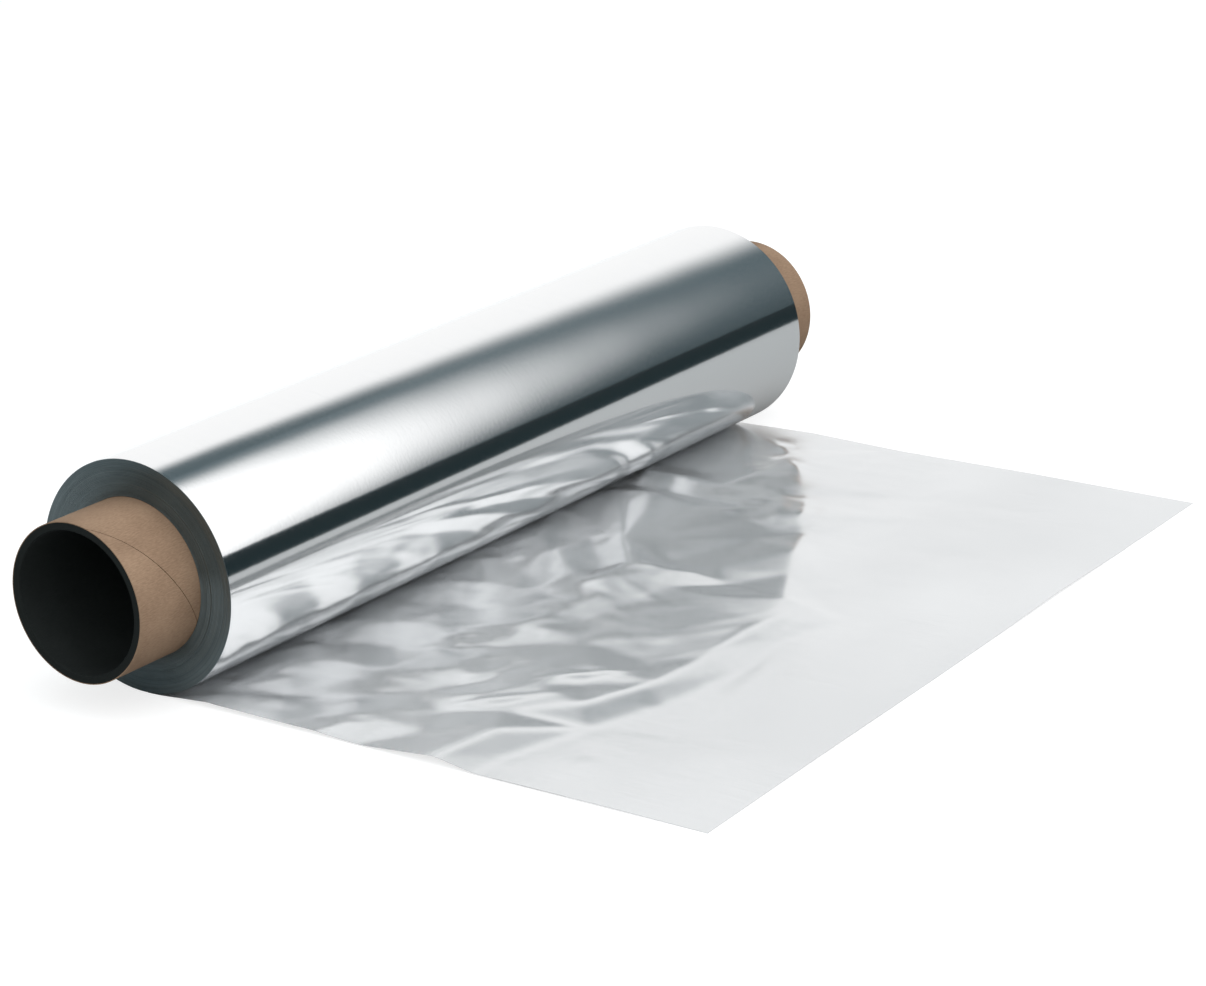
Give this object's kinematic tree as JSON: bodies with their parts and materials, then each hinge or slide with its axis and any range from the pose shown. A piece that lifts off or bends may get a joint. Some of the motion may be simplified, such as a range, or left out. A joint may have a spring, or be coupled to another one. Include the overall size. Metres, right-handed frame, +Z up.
{
  "type": "aluminium foil roll",
  "caption": "Roll of kitchen foil on a long cardboard core that stands out of both ends, with a length of creased foil pulled out flat in front of it.",
  "frame": {"origin": "middle of the core's bore, on its axis", "axes": "+X along the roll, +Z up, -Y the way the foil is pulled out"},
  "size_m": [0.35, 0.2245, 0.069],
  "materials": {
    "foil": "rolled bright, with a satin inner side",
    "core_board": "bare brown board"
  },
  "bodies": {
    "root": {"foil": "foil", "cardboard_core": "core_board"}
  },
  "joints": []
}
